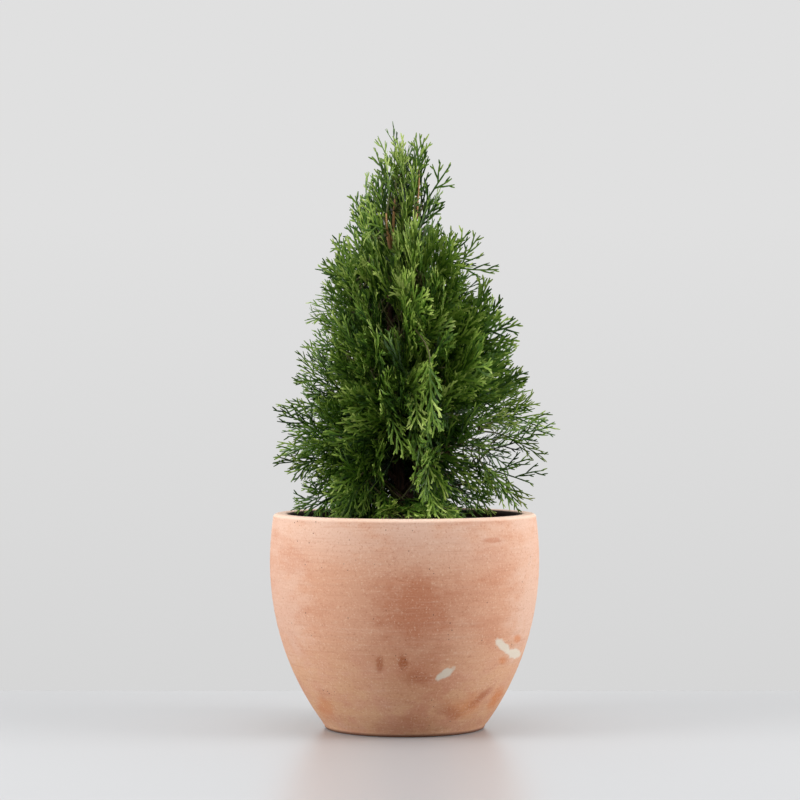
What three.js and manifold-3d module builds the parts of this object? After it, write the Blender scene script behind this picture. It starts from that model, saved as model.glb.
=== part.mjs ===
// Potted arborvitae: a young cone-shaped evergreen with flat sprays of scale leaves, standing in a
// round-bellied terracotta pot full of soil. Millimetres, +Z up, with the viewer at -Y. The origin is
// the middle of the pot's flat underside.

import * as THREE from 'three';
import { mergeVertices } from 'three/addons/utils/BufferGeometryUtils.js';
import Module from 'manifold-3d';

const wasm = await Module();
wasm.setup();

const { clamp, lerp } = THREE.MathUtils;

// Driving dimensions

const touchGap = 0.3; // between pieces that touch on the real plant
const weld = 1e-4; // corners closer than this are one corner
const cutWeld = 0.04; // the same, after cuts and joins

const pot = {
  height: 160,
  footRadius: 60,
  footBevel: 2.5,
  bellyRadius: 100.4,
  bellyHeight: 124, // of the widest circle
  rimRadius: 97.6,
  wall: 11.5,
  floor: 12,
  lip: 3.2, // rounding of the rim's two edges
  lipSteps: 2,
  outerSteps: 6,
  sides: 36,
};

const soil = {
  level: 151, // at the wall
  mound: 1.8, // rise to the flat middle
  flatRadius: 14,
  wallSteps: 4,
  sides: 20,
};

// Heights of the plant are measured from the soil.

const trunk = {
  height: 232,
  radius: 5.2,
  tipRadius: 1.4,
  taperPower: 0.8,
  flare: 3.6, // extra radius at the soil
  flareHeight: 9,
  bow: [-7, 3], // how far the middle stands off the straight line, along X and Y
  tipLean: [-8, 0],
  sides: 8,
  steps: 10,
};

const crown = {
  height: 296,
  widestHeight: 62,
  radius: 99,
  tipRadius: 12,
  taperPower: 1.3, // how full the cone is above its widest circle
  skirtTuck: 0.12, // how far the lowest tips draw in, as a share of the radius
  lopsided: 0.05, // extra reach at the low right, and as much less at the low left
  spur: 0.11, // further reach of the boughs that stand out at the right
  spurHeight: 66,
  spurSpread: 20,
  overReach: 4, // how far a side spray may pass the outline
  lowestTip: 14,
  highestTip: 276,
  crowding: 0.62, // below 1, tips crowd towards the top
  boughs: 26,
  firstAzimuth: 1,
  azimuthJitter: 0.14,
  reachJitter: 0.05,
  seed: 4211,
  seedStep: 97,
};

const bough = {
  lowSlope: 0.12, // mean rise over reach of the lowest bough and of the highest
  highSlope: 1.9,
  lowestFork: 8,
  forkStep: 1.4, // least rise from one fork to the next
  arch: 13, // how far the lowest boughs bow upwards
  lowElbow: [0.5, 0.8], // shares of the reach and of the rise at the bend
  highElbow: [0.66, 0.4],
  thickest: 2.7,
  thinnest: 1.6,
  tipRadius: 1.5,
  lowShare: 0.3, // of its axis that is bare limb
  highShare: 0.24,
  sides: 4,
  steps: 2,
};

// The two upright tips of the crown: the first goes on from the trunk, the second is a steep bough.
const leader = {
  top: [-3, 0, 294.5],
  stemEnd: 0.51,
  leaveAngle: 0.45,
  overReach: 12,
  slimness: 0.42, // of the sprays on both tips
};
const secondLeader = {
  fork: 150,
  elbow: [15, -3, 205],
  top: [10, -4, 292.5],
  radius: 2,
  bareShare: 0.45,
  stemEnd: 0.82,
};

const mass = {
  stemRadius: 1.4,
  stemTipRadius: 0.45,
  stemEnd: 0.56, // share of the axis where the stem ends in its last spray
  stemSides: 4,
  stemSteps: 2,
  sprays: 6,
  tries: 90, // twigs that are tried to get that many sprays
  lowestTwig: 0.06, // share of the stem
  twigRadius: 0.6, // as a share of the stem's radius where it leaves
  twigTipRadius: 0.4,
  twigShare: 0.25, // of a side spray's length that is bare twig
  twigSides: 3,
  sunk: 3, // of a spray's root that lies in its stem or twig
  leaveAngle: 0.75, // between stem and twig
  leaveJitter: 0.25,
  rollJitter: 0.3, // of a twig round its stem
  lastTurn: 0.5, // how far the last spray may turn out of an upright plane
  sideTurn: 0.9, // the same for a side spray
  apart: 1.6, // kept between neighbouring masses
  limbClear: 1.5, // kept between a spray and the trunk, the soil or the pot
};

const spray = {
  longest: 62,
  shortest: 26,
  usual: 44,
  lengthJitter: 0.15,
  shrinks: [1, 0.85, 0.7, 0.55], // tried in turn where the space is tight
  slimness: 0.86, // width over length
  thickness: 1.2,
  bow: 0.1, // bend of the tip over the length
  teeth: 3, // branchlets on each side
  stagger: 0.45, // of one side's branchlets against the other's
  firstTooth: 0.07, // shares of the length where the rib carries branchlets
  lastTooth: 0.82,
  swell: [0.37, 0.88], // the part of a sine's hump that gives the branchlets' reach
  foremost: 0.98, // share of the length that no branchlet passes
  ribRadius: 1.1,
  sweep: 1.05, // how far a branchlet leans forward for each millimetre it reaches out
  rootedShare: 0.25, // of its length that may lie near its own stem
  apart: 1, // kept between two sprays of a mass
};

const up = new THREE.Vector3(0, 0, 1);
const goldenAngle = Math.PI * (3 - Math.sqrt(5));

// Materials

const terracotta = new THREE.MeshStandardMaterial({ color: 0xd9a183, roughness: 0.85, metalness: 0 });
const pottingSoil = new THREE.MeshStandardMaterial({ color: 0x32241b, roughness: 1, metalness: 0 });
const bark = new THREE.MeshStandardMaterial({ color: 0x6b4630, roughness: 0.9, metalness: 0 });
const scaleLeaf = new THREE.MeshStandardMaterial({ color: 0x3f6f2c, roughness: 0.55, metalness: 0 });

// A repeatable source of random numbers: one seed always gives one plant.
function seededRandom(seed) {
  let state = seed;
  return () => {
    state = (state * 48271) % 2147483647;
    return state / 2147483647;
  };
}

// A draw between minus and plus a limit
const jitter = (random, limit) => limit * (2 * random() - 1);

// Solids

function toSolid(geometry) {
  const bare = geometry.clone();
  bare.deleteAttribute('normal');
  bare.deleteAttribute('uv');
  const merged = mergeVertices(bare, weld);
  return new wasm.Manifold(new wasm.Mesh({
    numProp: 3,
    vertProperties: merged.getAttribute('position').array,
    triVerts: new Uint32Array(merged.index.array),
  }));
}

// The mesh of a solid, with the hair-short edges that cuts leave closed up
function toGeometry(solid) {
  const mesh = solid.getMesh();
  const geometry = new THREE.BufferGeometry()
    .setAttribute('position', new THREE.BufferAttribute(mesh.vertProperties, 3))
    .setIndex(new THREE.BufferAttribute(mesh.triVerts, 1));
  return mergeVertices(geometry, cutWeld);
}

// The largest body of a solid: loose scraps are dropped, and a sealed hollow is filled.
function wholeBody(solid) {
  return solid.decompose().sort((a, b) => b.volume() - a.volume())[0];
}

// The stretch of a curve between two shares of it
class Stretch extends THREE.Curve {
  constructor(curve, from, to) {
    super();
    Object.assign(this, { curve, from, to });
  }

  getPoint(share, target) {
    return this.curve.getPoint(lerp(this.from, this.to, share), target);
  }
}

// A vector made square to a direction
function squareTo(vector, direction) {
  return vector.clone().addScaledVector(direction, -vector.dot(direction)).normalize();
}

// A limb is a unit cylinder bent along a curve and swelled to its radius there. Side is a direction
// across the curve that keeps its sections from twisting. Its sections are square to the curve, or
// level where the limb is level-cut.
function limbGeometry(curve, radiusAt, side, sides, steps, levelCut = false) {
  const geometry = new THREE.CylinderGeometry(1, 1, 1, sides, steps);
  const position = geometry.getAttribute('position');
  for (let i = 0; i < position.count; i++) {
    const share = position.getY(i) + 0.5;
    const tangent = levelCut ? up : curve.getTangent(share);
    const across = squareTo(side, tangent);
    const aside = across.clone().cross(tangent);
    const point = curve.getPoint(share)
      .addScaledVector(across, position.getX(i) * radiusAt(share))
      .addScaledVector(aside, position.getZ(i) * radiusAt(share));
    position.setXYZ(i, point.x, point.y, point.z);
  }
  return geometry;
}

// Pot and soil

// Radius of the arc that stands upright at the belly and passes a given radius at a given height
function bellyArc(radius, height) {
  const inward = pot.bellyRadius - radius;
  const along = height - pot.bellyHeight;
  return (inward * inward + along * along) / (2 * inward);
}

const lowerArc = bellyArc(pot.footRadius, pot.footBevel);
const upperArc = bellyArc(pot.rimRadius, pot.height);

function potRadiusAt(height) {
  const along = height - pot.bellyHeight;
  const arc = along < 0 ? lowerArc : upperArc;
  return pot.bellyRadius - arc + Math.sqrt(arc * arc - along * along);
}

const cavityRadiusAt = (height) => potRadiusAt(height) - pot.wall;

// Points on a wall of the pot, at even heights
function wallPoints(radiusAt, from, to, steps) {
  return Array.from({ length: steps + 1 }, (_, i) => {
    const height = lerp(from, to, i / steps);
    return new THREE.Vector2(radiusAt(height), height);
  });
}

// The inner points of a quarter round of the rim, from one angle to another about its centre
function lipPoints(centreRadius, from, to) {
  return Array.from({ length: pot.lipSteps - 1 }, (_, i) => {
    const angle = lerp(from, to, (i + 1) / pot.lipSteps);
    const height = pot.height - pot.lip + pot.lip * Math.sin(angle);
    return new THREE.Vector2(centreRadius + pot.lip * Math.cos(angle), height);
  });
}

function potGeometry() {
  const lipFoot = pot.height - pot.lip;
  const outerLip = potRadiusAt(lipFoot) - pot.lip;
  const innerLip = cavityRadiusAt(lipFoot) + pot.lip;
  const profile = [
    new THREE.Vector2(0, 0),
    new THREE.Vector2(pot.footRadius - pot.footBevel, 0),
    ...wallPoints(potRadiusAt, pot.footBevel, lipFoot, pot.outerSteps),
    ...lipPoints(outerLip, 0, Math.PI / 2),
    new THREE.Vector2(outerLip, pot.height),
    new THREE.Vector2(innerLip, pot.height),
    ...lipPoints(innerLip, Math.PI / 2, Math.PI),
    new THREE.Vector2(cavityRadiusAt(lipFoot), lipFoot),
    ...wallPoints(cavityRadiusAt, soil.level, pot.floor, soil.wallSteps),
    new THREE.Vector2(0, pot.floor),
  ];
  return new THREE.LatheGeometry(profile, pot.sides);
}

// The soil fills the cavity, inside the flats of the pot's many-sided wall.
function soilGeometry() {
  const radiusAt = (height) => cavityRadiusAt(height) * Math.cos(Math.PI / pot.sides) - touchGap;
  const floor = pot.floor + touchGap;
  const profile = [
    new THREE.Vector2(0, floor),
    ...wallPoints(radiusAt, floor, soil.level, soil.wallSteps),
    new THREE.Vector2(soil.flatRadius, soil.level + soil.mound),
    new THREE.Vector2(0, soil.level + soil.mound),
  ];
  return new THREE.LatheGeometry(profile, soil.sides);
}

// The plant stands in its own group, whose zero is the top of the soil.
const ground = soil.level + soil.mound + touchGap;

// Trunk

const trunkAxis = new THREE.CatmullRomCurve3([0, 0.35, 0.7, 1].map((share) => {
  const [x, y] = [0, 1].map((k) => trunk.tipLean[k] * share + trunk.bow[k] * Math.sin(Math.PI * share));
  return new THREE.Vector3(x, y, trunk.height * share);
}));

function trunkRadiusAt(share) {
  const flare = trunk.flare * Math.exp(-share * trunk.height / trunk.flareHeight);
  return lerp(trunk.radius, trunk.tipRadius, share ** trunk.taperPower) + flare;
}

function trunkGeometry(clearance = 0) {
  const side = new THREE.Vector3(1, 0, 0);
  const radiusAt = (share) => trunkRadiusAt(share) + clearance;
  return limbGeometry(trunkAxis, radiusAt, side, trunk.sides, trunk.steps, true);
}

// The crown's outline

function crownReachAt(height, azimuth) {
  const above = clamp((height - crown.widestHeight) / (crown.height - crown.widestHeight), 0, 1);
  const below = clamp(1 - height / crown.widestHeight, 0, 1);
  const cone = lerp(crown.radius, crown.tipRadius, above ** crown.taperPower);
  const rightward = Math.cos(azimuth);
  const lopsided = crown.lopsided * rightward * (1 - above);
  const fromSpur = (height - crown.spurHeight) / crown.spurSpread;
  const spur = crown.spur * Math.max(0, rightward) * Math.exp(-fromSpur * fromSpur);
  return cone * (1 - crown.skirtTuck * below) * (1 + lopsided + spur);
}

// The axis of a bough and of the mass it carries: from the trunk, up and out to a tip on the crown's
// outline. Tips follow the golden angle round the cone.
function boughAxis(index) {
  const random = seededRandom(crown.seed + crown.seedStep * index);
  const share = 1 - (1 - (index + 0.5) / crown.boughs) ** crown.crowding;
  const azimuth = crown.firstAzimuth + goldenAngle * index + jitter(random, crown.azimuthJitter);
  const tipHeight = lerp(crown.lowestTip, crown.highestTip, share);
  const reach = crownReachAt(tipHeight, azimuth) * (1 + jitter(random, crown.reachJitter));
  const slope = lerp(bough.lowSlope, bough.highSlope, share);
  const lowestFork = bough.lowestFork + bough.forkStep * index;
  const forkHeight = Math.max(lowestFork, tipHeight - reach * slope);
  const outward = new THREE.Vector3(Math.cos(azimuth), Math.sin(azimuth), 0);
  const fork = trunkAxis.getPoint(forkHeight / trunk.height);
  const tip = outward.clone().multiplyScalar(reach).setZ(tipHeight);
  const elbowOut = reach * lerp(bough.lowElbow[0], bough.highElbow[0], share);
  const elbowUp = (tipHeight - fork.z) * lerp(bough.lowElbow[1], bough.highElbow[1], share);
  const arch = bough.arch * (1 - share) ** 2;
  const elbow = fork.clone().addScaledVector(outward, elbowOut).addScaledVector(up, elbowUp + arch);
  return {
    name: String(index + 1).padStart(2, '0'),
    overReach: crown.overReach,
    slimness: spray.slimness,
    curve: new THREE.QuadraticBezierCurve3(fork, elbow, tip),
    side: new THREE.Vector3(-outward.y, outward.x, 0),
    radius: lerp(bough.thickest, bough.thinnest, share),
    bareShare: lerp(bough.lowShare, bough.highShare, share),
    stemEnd: mass.stemEnd,
    leaveAngle: mass.leaveAngle,
    random,
  };
}

function leaderAxis() {
  const foot = trunkAxis.getPoint(1);
  const top = new THREE.Vector3(...leader.top);
  return {
    name: 'leader',
    overReach: leader.overReach,
    slimness: leader.slimness,
    curve: new THREE.QuadraticBezierCurve3(foot, foot.clone().lerp(top, 0.5), top),
    side: new THREE.Vector3(0, 1, 0),
    bareShare: 0,
    stemEnd: leader.stemEnd,
    leaveAngle: leader.leaveAngle,
    random: seededRandom(crown.seed - 1),
  };
}

function secondLeaderAxis() {
  const fork = trunkAxis.getPoint(secondLeader.fork / trunk.height);
  const elbow = new THREE.Vector3(...secondLeader.elbow);
  const top = new THREE.Vector3(...secondLeader.top);
  return {
    name: 'second_leader',
    overReach: leader.overReach,
    slimness: leader.slimness,
    curve: new THREE.QuadraticBezierCurve3(fork, elbow, top),
    side: new THREE.Vector3(0, 1, 0),
    radius: secondLeader.radius,
    bareShare: secondLeader.bareShare,
    stemEnd: secondLeader.stemEnd,
    leaveAngle: leader.leaveAngle,
    random: seededRandom(crown.seed - 2),
  };
}

const axes = [
  ...Array.from({ length: crown.boughs }, (_, i) => boughAxis(i)),
  secondLeaderAxis(),
  leaderAxis(),
];
for (const axis of axes) axis.points = axis.curve.getPoints(8);
const trunkPoints = trunkAxis.getPoints(24);

function distanceTo(points, point) {
  const line = new THREE.Line3();
  const nearest = new THREE.Vector3();
  let least = Infinity;
  for (let i = 1; i < points.length; i++) {
    line.set(points[i - 1], points[i]).closestPointToPoint(point, true, nearest);
    least = Math.min(least, nearest.distanceTo(point));
  }
  return least;
}

function clearOfPot(point) {
  if (point.z + ground > pot.height + mass.limbClear) return true;
  const inside = cavityRadiusAt(pot.height) - mass.limbClear;
  return Math.hypot(point.x, point.y) < inside && point.z > mass.limbClear;
}

function clearOfTrunk(point) {
  const share = clamp(point.z / trunk.height, 0, 1);
  return distanceTo(trunkPoints, point) > trunkRadiusAt(share) + mass.limbClear;
}

// A mass keeps to the space that is nearer to its own axis than to any other, inside the crown's
// outline and clear of the trunk and the pot.
function inOwnSpace(point, own) {
  const reach = crownReachAt(point.z, Math.atan2(point.y, point.x)) + own.overReach;
  if (Math.hypot(point.x, point.y) > reach || point.z > crown.height) return false;
  if (!clearOfPot(point) || !clearOfTrunk(point)) return false;
  const room = distanceTo(own.points, point) + mass.apart;
  return axes.every((axis) => axis === own || distanceTo(axis.points, point) > room);
}

// Foliage

// The outline of one flat spray, from its root at zero along X: a rib with branchlets that lean
// forward, cut to the rib between them, and a pointed tip.
function sprayOutline(length, halfWidth) {
  const edge = (side) => {
    const points = [];
    for (let i = 0; i < spray.teeth; i++) {
      const share = (i + (side > 0 ? 0 : spray.stagger)) / spray.teeth;
      const along = length * lerp(spray.firstTooth, spray.lastTooth, share);
      const out = halfWidth * Math.sin(Math.PI * lerp(...spray.swell, share));
      const tip = Math.min(along + spray.sweep * out, length * spray.foremost);
      points.push(new THREE.Vector2(i === 0 ? 0 : along, side * spray.ribRadius));
      points.push(new THREE.Vector2(tip, side * out));
    }
    points.push(new THREE.Vector2(length * spray.lastTooth, side * spray.ribRadius));
    return points;
  };
  return [...edge(-1), new THREE.Vector2(length, 0), ...edge(1).reverse()];
}

// Places a flat spray: X along its direction and Z along its normal, with the tip bent aside.
function placeSpray(root, direction, normal, length) {
  const across = normal.clone().cross(direction);
  const matrix = new THREE.Matrix4().makeBasis(direction, across, normal).setPosition(root);
  const bow = (x) => -spray.bow * x * x / length;
  return { matrix, inverse: matrix.clone().invert(), bow };
}

// Whether an edge of one spray's outline passes through the blade of another
function crosses(one, other) {
  const inBlade = (p) => p.x > 0 && p.x < other.length + spray.apart
    && Math.abs(p.y) < other.halfWidth + spray.apart;
  const local = one.placed.map((p) => p.clone().applyMatrix4(other.place.inverse));
  const heights = local.map((p) => p.z - other.place.bow(p.x));
  return local.some((p, i) => {
    const next = (i + 1) % local.length;
    if (Math.abs(heights[i]) < spray.apart && inBlade(p)) return true;
    if (heights[i] * heights[next] > 0) return false;
    return inBlade(p.clone().lerp(local[next], heights[i] / (heights[i] - heights[next])));
  });
}

// The first of a few lengths whose spray stays in its mass's space and crosses no spray there, or null
// where none does
function fittedSpray(root, direction, normal, longest, own, others) {
  for (const shrink of spray.shrinks) {
    const length = longest * shrink;
    if (length < spray.shortest) return null;
    const halfWidth = 0.5 * length * own.slimness;
    const outline = sprayOutline(length, halfWidth);
    const place = placeSpray(root, direction, normal, length);
    const placed = outline.map((p) => new THREE.Vector3(p.x, p.y, place.bow(p.x)).applyMatrix4(place.matrix));
    const sprayed = { length, halfWidth, outline, place, placed };
    const free = placed.filter((p) => p.distanceTo(root) > spray.rootedShare * length);
    if (others.some((other) => crosses(sprayed, other) || crosses(other, sprayed))) continue;
    if (free.every((p) => inOwnSpace(p, own))) return sprayed;
  }
  return null;
}

function spraySolid({ outline, place }) {
  const shape = new THREE.Shape(outline);
  const geometry = new THREE.ExtrudeGeometry(shape, { depth: spray.thickness, bevelEnabled: false });
  geometry.translate(0, 0, -spray.thickness / 2);
  const position = geometry.getAttribute('position');
  for (let i = 0; i < position.count; i++) position.setZ(i, position.getZ(i) + place.bow(position.getX(i)));
  return toSolid(geometry.applyMatrix4(place.matrix));
}

function twigSolid(root, direction, length, rootRadius, side) {
  const line = new THREE.LineCurve3(root, root.clone().addScaledVector(direction, length));
  const radiusAt = (share) => lerp(rootRadius, mass.twigTipRadius, share);
  return toSolid(limbGeometry(line, radiusAt, side, mass.twigSides, 1));
}

// One mass: a stem that ends in a spray, and twigs round the golden angle with a spray on each. A spray
// that leaves the mass's space, or crosses another, is skipped with its twig.
function massSolid(axis) {
  const { curve, side, random } = axis;
  const gapShare = touchGap / curve.getLength();
  const stem = new Stretch(curve, axis.bareShare + gapShare, axis.stemEnd);
  const stemRadius = (share) => lerp(mass.stemRadius, mass.stemTipRadius, share);
  let solid = toSolid(limbGeometry(stem, stemRadius, side, mass.stemSides, mass.stemSteps));
  const sprays = [];

  const lastDirection = curve.getPoint(1).sub(stem.getPoint(1)).normalize();
  const lastRoot = stem.getPoint(1).addScaledVector(stem.getTangent(1), -mass.sunk);
  const lastLength = Math.min(curve.getPoint(1).distanceTo(lastRoot), spray.longest);
  const lastTurn = jitter(random, mass.lastTurn);
  const lastNormal = squareTo(side, lastDirection).applyAxisAngle(lastDirection, lastTurn);
  const last = fittedSpray(lastRoot, lastDirection, lastNormal, lastLength, axis, sprays);
  if (last) {
    sprays.push(last);
    solid = solid.add(spraySolid(last));
  }

  const firstRoll = 2 * Math.PI * random();
  for (let i = 0; i < mass.tries && sprays.length < mass.sprays; i++) {
    const share = lerp(mass.lowestTwig, 1, random());
    const root = stem.getPoint(share);
    const tangent = stem.getTangent(share);
    const roll = firstRoll + goldenAngle * i + jitter(random, mass.rollJitter);
    const leaveAngle = axis.leaveAngle + jitter(random, mass.leaveJitter);
    const swing = squareTo(side, tangent).applyAxisAngle(tangent, roll);
    const direction = tangent.clone().applyAxisAngle(swing, leaveAngle);
    const normal = squareTo(side, direction).applyAxisAngle(direction, jitter(random, mass.sideTurn));
    const length = Math.max(lastLength, spray.usual) * (1 + jitter(random, spray.lengthJitter));
    const twigLength = mass.twigShare * length;
    const bladeRoot = root.clone().addScaledVector(direction, twigLength - mass.sunk);
    const blade = fittedSpray(bladeRoot, direction, normal, length, axis, sprays);
    if (!blade) continue;
    sprays.push(blade);
    const twigRadius = stemRadius(share) * mass.twigRadius;
    solid = solid.add(twigSolid(root, direction, twigLength, twigRadius, normal)).add(spraySolid(blade));
  }
  return wholeBody(solid);
}

function boughSolid(axis, clearTrunk) {
  const limb = new Stretch(axis.curve, 0, axis.bareShare);
  const radiusAt = (share) => lerp(axis.radius, bough.tipRadius, share);
  const solid = toSolid(limbGeometry(limb, radiusAt, axis.side, bough.sides, bough.steps));
  return wholeBody(solid.subtract(clearTrunk));
}

// Assembly

function namedMesh(name, geometry, material) {
  const mesh = new THREE.Mesh(geometry, material);
  mesh.name = name;
  return mesh;
}

const planter = new THREE.Group();
planter.rotation.x = Math.PI / 2; // lathes turn about Y
planter.add(namedMesh('pot', potGeometry(), terracotta));
planter.add(namedMesh('soil', soilGeometry(), pottingSoil));

const plant = new THREE.Group();
plant.position.z = ground;
plant.add(namedMesh('trunk', trunkGeometry(), bark));
const clearTrunk = toSolid(trunkGeometry(touchGap));
for (const axis of axes) {
  if (axis.bareShare > 0) {
    plant.add(namedMesh(`bough_${axis.name}`, toGeometry(boughSolid(axis, clearTrunk)), bark));
  }
  plant.add(namedMesh(`foliage_${axis.name}`, toGeometry(massSolid(axis)), scaleLeaf));
}

const pottedArborvitae = new THREE.Group();
pottedArborvitae.add(planter, plant);

export default pottedArborvitae;
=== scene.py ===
import math

import bmesh
import bpy
import numpy as np
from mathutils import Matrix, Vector, noise


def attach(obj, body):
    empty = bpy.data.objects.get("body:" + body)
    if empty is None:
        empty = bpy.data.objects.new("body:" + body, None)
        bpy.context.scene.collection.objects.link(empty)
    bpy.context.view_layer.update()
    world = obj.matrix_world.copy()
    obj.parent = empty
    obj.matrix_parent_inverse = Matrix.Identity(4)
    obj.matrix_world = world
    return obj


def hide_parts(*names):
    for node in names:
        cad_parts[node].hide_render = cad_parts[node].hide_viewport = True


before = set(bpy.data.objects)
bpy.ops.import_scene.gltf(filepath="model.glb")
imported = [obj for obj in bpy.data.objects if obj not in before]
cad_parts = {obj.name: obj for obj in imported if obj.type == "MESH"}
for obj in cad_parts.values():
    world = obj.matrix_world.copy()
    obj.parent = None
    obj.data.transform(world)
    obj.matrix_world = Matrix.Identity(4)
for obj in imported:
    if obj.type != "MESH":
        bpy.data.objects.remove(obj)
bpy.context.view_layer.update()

mm = 0.001  # sizes below are millimetres, meshes are metres
fullTurn = 2 * math.pi
minimalStandard = dict(factor=48271, modulus=2147483647)  # the plant's random numbers
weld = 0.01  # corners of a turned shape nearer than this are one
print("frame:", len(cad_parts), "nodes")


# Small helpers

def clamp(value, low=0.0, high=1.0):
    return max(low, min(high, value))


def lerp(a, b, share):
    return a + (b - a) * share


def sharesOf(count):
    return [i / count for i in range(count + 1)]


def unit(vector):
    return vector / np.linalg.norm(vector)


def squareTo(vector, direction):  # the part of a vector that is square to a direction
    return unit(vector - direction * (vector @ direction))


def turned(vector, axis, angle):
    along = axis * (axis @ vector) * (1 - math.cos(angle))
    return vector * math.cos(angle) + np.cross(axis, vector) * math.sin(angle) + along


def seededRandom(seed):  # one seed always gives one plant
    state = seed

    def draw():
        nonlocal state
        state = state * minimalStandard["factor"] % minimalStandard["modulus"]
        return state / minimalStandard["modulus"]
    return draw


def jitter(random, limit):
    return limit * (2 * random() - 1)


def eitherSide(random):
    return 1 if random() < 0.5 else -1


def linear(hexColour):  # sRGB hex to linear RGBA
    channels = [int(hexColour[i:i + 2], 16) / 255 for i in (1, 3, 5)]
    return [c / 12.92 if c <= 0.04045 else ((c + 0.055) / 1.055) ** 2.4 for c in channels] + [1.0]


def perSize(size):  # texture scale whose features are about this many millimetres
    return 1000 / size


def addNode(tree, kind, links=None, **settings):
    made = tree.nodes.new("ShaderNode" + kind)
    for name, value in settings.items():
        setattr(made, name, value)
    for socket, value in (links or {}).items():
        if isinstance(value, bpy.types.NodeSocket):
            tree.links.new(value, made.inputs[socket])
        else:
            made.inputs[socket].default_value = value
    return made


def newMaterial(name, **values):
    material = bpy.data.materials.new(name)
    material.use_nodes = True
    tree = material.node_tree
    tree.nodes.clear()
    shader = addNode(tree, "BsdfPrincipled", {k.replace("_", " "): v for k, v in values.items()})
    addNode(tree, "OutputMaterial", {"Surface": shader.outputs[0]})
    return material, tree, shader


def finishSurface(tree, shader, colour, relief, strength, depth):  # a material's colour and fine relief
    bump = addNode(tree, "Bump", {"Height": relief, "Strength": strength, "Distance": depth * mm})
    tree.links.new(colour, shader.inputs["Base Color"])
    tree.links.new(bump.outputs[0], shader.inputs["Normal"])


def finishPiece(name, mesh, materials, nodes=(), smooth=True):
    piece = bpy.data.objects.new(name, mesh)
    bpy.context.scene.collection.objects.link(piece)
    for material in materials:
        mesh.materials.append(material)
    mesh.polygons.foreach_set("use_smooth", [smooth] * len(mesh.polygons))
    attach(piece, "root")
    if nodes:
        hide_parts(*nodes)
    print(name, len(mesh.vertices), "vertices,", len(mesh.polygons), "faces")
    return piece


def meshFromBmesh(name, made):
    mesh = bpy.data.meshes.new(name)
    made.to_mesh(mesh)
    made.free()
    return mesh


def spunMesh(profile, steps):  # a closed profile of (radius, height) turned about Z
    made = bmesh.new()
    corners = [made.verts.new((r * mm, 0, z * mm)) for r, z in profile]
    edges = [made.edges.new(pair) for pair in zip(corners, corners[1:])]
    bmesh.ops.spin(made, geom=corners + edges, cent=(0, 0, 0), axis=(0, 0, 1), dvec=(0, 0, 0),
                   angle=fullTurn, steps=steps, use_merge=True, use_duplicate=False)
    bmesh.ops.remove_doubles(made, verts=made.verts, dist=weld * mm)
    bmesh.ops.recalc_face_normals(made, faces=made.faces)
    return made


# Many closed tubes in one mesh. A group has rings, as (tube, ring, corner, xyz) in millimetres, and its inks,
# one material index for each tube or for each step along it.
def tubesMesh(name, groups):
    points, corners, starts, inks, base, start = [], [], [], [], 0, 0
    for rings, ink in groups:
        count, steps, sides, _ = rings.shape
        index = base + np.arange(count * steps * sides).reshape(count, steps, sides)
        after = np.roll(index, -1, axis=2)
        walls = np.stack([index[:, :-1], after[:, :-1], after[:, 1:], index[:, 1:]], axis=-1)
        walls = walls.reshape(count, -1, 4)
        caps = np.stack([index[:, 0, ::-1], index[:, -1]], axis=1)
        shades = np.broadcast_to(np.reshape(ink, (count, -1)), (count, steps - 1))
        for faces, shade in ((walls, np.repeat(shades, sides, axis=1)), (caps, shades[:, [0, -1]])):
            size = faces.shape[2]
            total = faces.shape[0] * faces.shape[1]
            corners.append(faces.ravel())
            starts.append(start + size * np.arange(total))
            inks.append(shade.ravel())
            start += size * total
        points.append(rings.reshape(-1, 3) * mm)
        base += count * steps * sides
    points, corners, starts, inks = (np.concatenate(part) for part in (points, corners, starts, inks))
    mesh = bpy.data.meshes.new(name)
    mesh.vertices.add(len(points))
    mesh.vertices.foreach_set("co", points.ravel().astype(np.float32))
    mesh.loops.add(len(corners))
    mesh.loops.foreach_set("vertex_index", corners.astype(np.int32))
    mesh.polygons.add(len(starts))
    mesh.polygons.foreach_set("loop_start", starts.astype(np.int32))
    mesh.polygons.foreach_set("material_index", inks.astype(np.int32))
    mesh.update(calc_edges=True)
    return mesh


def placeInStudio(name, data, place, aim):  # a camera or a lamp that looks from one place to another
    made = bpy.data.objects.new(name, data)
    made.location = Vector(place) * mm
    made.rotation_euler = (Vector(aim) - Vector(place)).to_track_quat("-Z", "Y").to_euler()
    bpy.context.scene.collection.objects.link(made)
    return made


# Camera: in front, a little above half the plant's height, through a long lens

camera = dict(place=(0, -2000, 256), aim=(-3.5, 0, 244.3), lens=120.6, sensor=36)
cameraData = bpy.data.cameras.new("camera")
cameraData.lens = camera["lens"]
cameraData.sensor_width = camera["sensor"]
bpy.context.scene.camera = placeInStudio("camera", cameraData, camera["place"], camera["aim"])
bpy.context.scene.view_settings.view_transform = "Standard"

# Studio: a pale table in pale surroundings, a soft box on each side and above, a dim room behind the viewer

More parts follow.
